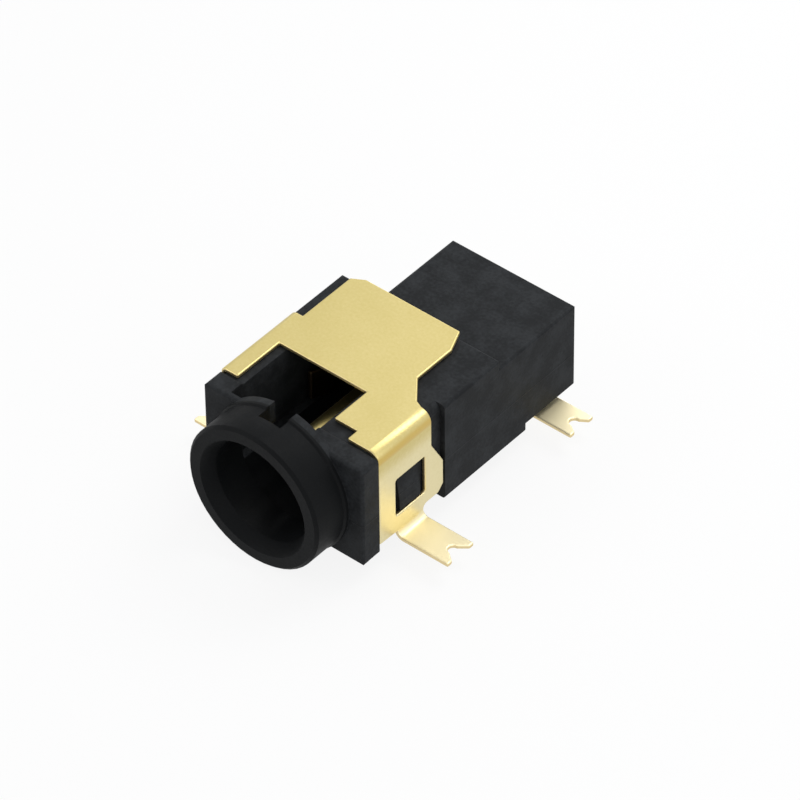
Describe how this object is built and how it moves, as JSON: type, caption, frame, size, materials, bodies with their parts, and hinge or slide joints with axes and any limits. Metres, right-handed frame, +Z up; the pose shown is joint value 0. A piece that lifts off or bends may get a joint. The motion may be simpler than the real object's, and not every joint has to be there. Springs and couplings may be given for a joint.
{
  "type": "dc barrel jack",
  "caption": "Low surface-mount DC power socket: moulded housing with a round mouth, folded gilt shell with forked solder feet, a fixed centre pin and a sleeve contact.",
  "frame": {"origin": "on the socket's axis, in the plane of the flange's front face", "axes": "+X to the right as seen looking into the mouth, +Y along the socket's axis from the mouth to the rear, +Z up from the board"},
  "size_m": [0.01, 0.0114, 0.0052],
  "materials": {
    "housing_plastic": "moulded, fine matte grain",
    "shell_gilt": "thin gilt plating over stamped sheet, satin",
    "pin_gilt": "turned and gilt",
    "terminal_gilt": "stamped, thin gilt plating"
  },
  "bodies": {
    "root": {"housing": "housing_plastic", "shell": "shell_gilt", "centre_pin": "pin_gilt", "pin_terminal": "terminal_gilt", "sleeve_contact": "terminal_gilt"}
  },
  "joints": []
}
